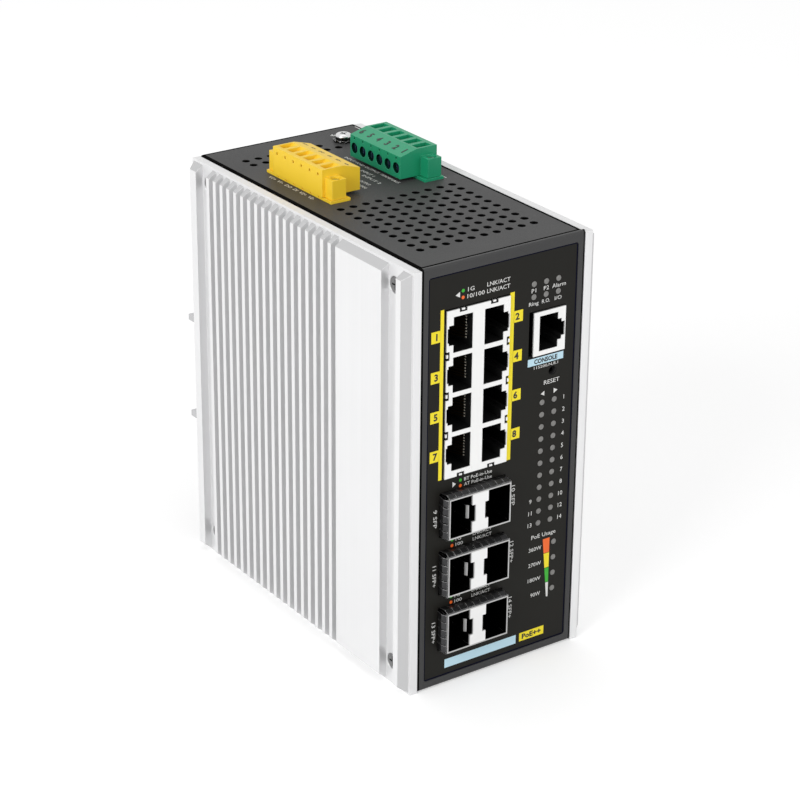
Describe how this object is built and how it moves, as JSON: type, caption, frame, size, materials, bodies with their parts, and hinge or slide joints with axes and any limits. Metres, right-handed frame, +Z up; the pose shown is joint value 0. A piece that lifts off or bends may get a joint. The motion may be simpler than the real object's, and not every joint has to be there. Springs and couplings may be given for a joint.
{
  "type": "rail mounted network switch",
  "caption": "Tall black sheet metal network switch between finned aluminium side panels, with copper and optical sockets in front, plug terminals on top and a rail bracket behind.",
  "frame": {"origin": "under the middle of the whole object, on the surface its side panels stand on", "axes": "+X to the right seen from the front, +Y from the front to the rail bracket, +Z up"},
  "size_m": [0.077, 0.1502, 0.1626],
  "materials": {
    "aluminium": "satin anodised",
    "heat_block": "machined",
    "black_sheet": "fine textured powder coat",
    "overlay": "matte printed film",
    "screw_steel": "nickel plated",
    "bracket_steel": "satin",
    "spring_steel": "bare spring steel",
    "yellow_plastic": "moulded",
    "green_plastic": "moulded",
    "terminal_screws": "blue passivated zinc",
    "terminal_pins": "tin plated",
    "ground_steel": "nickel plated",
    "socket_shell": "bright nickel plated",
    "black_plastic": "moulded",
    "gold_contacts": "gold plated",
    "cage_steel": "nickel plated",
    "collar_steel": "dull spring steel",
    "cage_spacer": "nickel plated",
    "reset_button": "moulded",
    "light_pipe": "clear moulded",
    "led_body": "moulded",
    "circuit_board": "solder resist",
    "standoff_brass": "nickel plated",
    "chip_plastic": "moulded",
    "thermal_pad": "soft",
    "transformer": "ferrite and tape",
    "capacitor": "sleeved can",
    "board_link": "moulded"
  },
  "bodies": {
    "housing": {"left_side_panel": "aluminium", "right_side_panel": "aluminium", "heat_block": "heat_block", "front_panel": "black_sheet", "top_cover": "black_sheet", "bottom_cover": "black_sheet", "rear_panel": "black_sheet", "front_overlay": "overlay", "side_screws": "screw_steel", "rear_screws": "screw_steel", "din_screws": "screw_steel", "board_screws": "screw_steel", "din_bracket": "bracket_steel", "din_spring": "spring_steel", "power_plug": "yellow_plastic", "power_header": "yellow_plastic", "alarm_plug": "green_plastic", "alarm_header": "green_plastic", "power_flange_screws": "terminal_screws", "power_clamp_screws": "terminal_screws", "alarm_flange_screws": "terminal_screws", "alarm_clamp_screws": "terminal_screws", "power_pins": "terminal_pins", "alarm_pins": "terminal_pins", "ground_screw": "ground_steel", "ground_washer": "ground_steel", "ground_nut": "ground_steel", "jack_shell": "socket_shell", "console_shell": "socket_shell", "jack_insert": "black_plastic", "console_insert": "black_plastic", "sfp_connectors": "black_plastic", "reset_switch": "black_plastic", "jack_contacts": "gold_contacts", "console_contacts": "gold_contacts", "sfp_cage_1": "cage_steel", "sfp_cage_2": "cage_steel", "sfp_cage_3": "cage_steel", "sfp_collar_1": "collar_steel", "sfp_collar_2": "collar_steel", "sfp_collar_3": "collar_steel", "sfp_spacer_1": "cage_spacer", "sfp_spacer_2": "cage_spacer", "sfp_spacer_3": "cage_spacer", "light_pipes": "light_pipe", "indicator_leds": "led_body", "main_board": "circuit_board", "power_board": "circuit_board", "terminal_board": "circuit_board", "led_board": "circuit_board", "board_standoffs": "standoff_brass", "switch_chip": "chip_plastic", "phy_chips": "chip_plastic", "thermal_pad": "thermal_pad", "transformers": "transformer", "capacitors": "capacitor", "board_links": "board_link"},
    "reset_button": {"reset_plunger": "reset_button"}
  },
  "joints": [
    {"name": "reset_press", "type": "slide", "parent": "housing", "child": "reset_button", "axis": [0, 1, 0], "range_m": [0, 0.0003], "stiffness_N_per_m": 500}
  ]
}
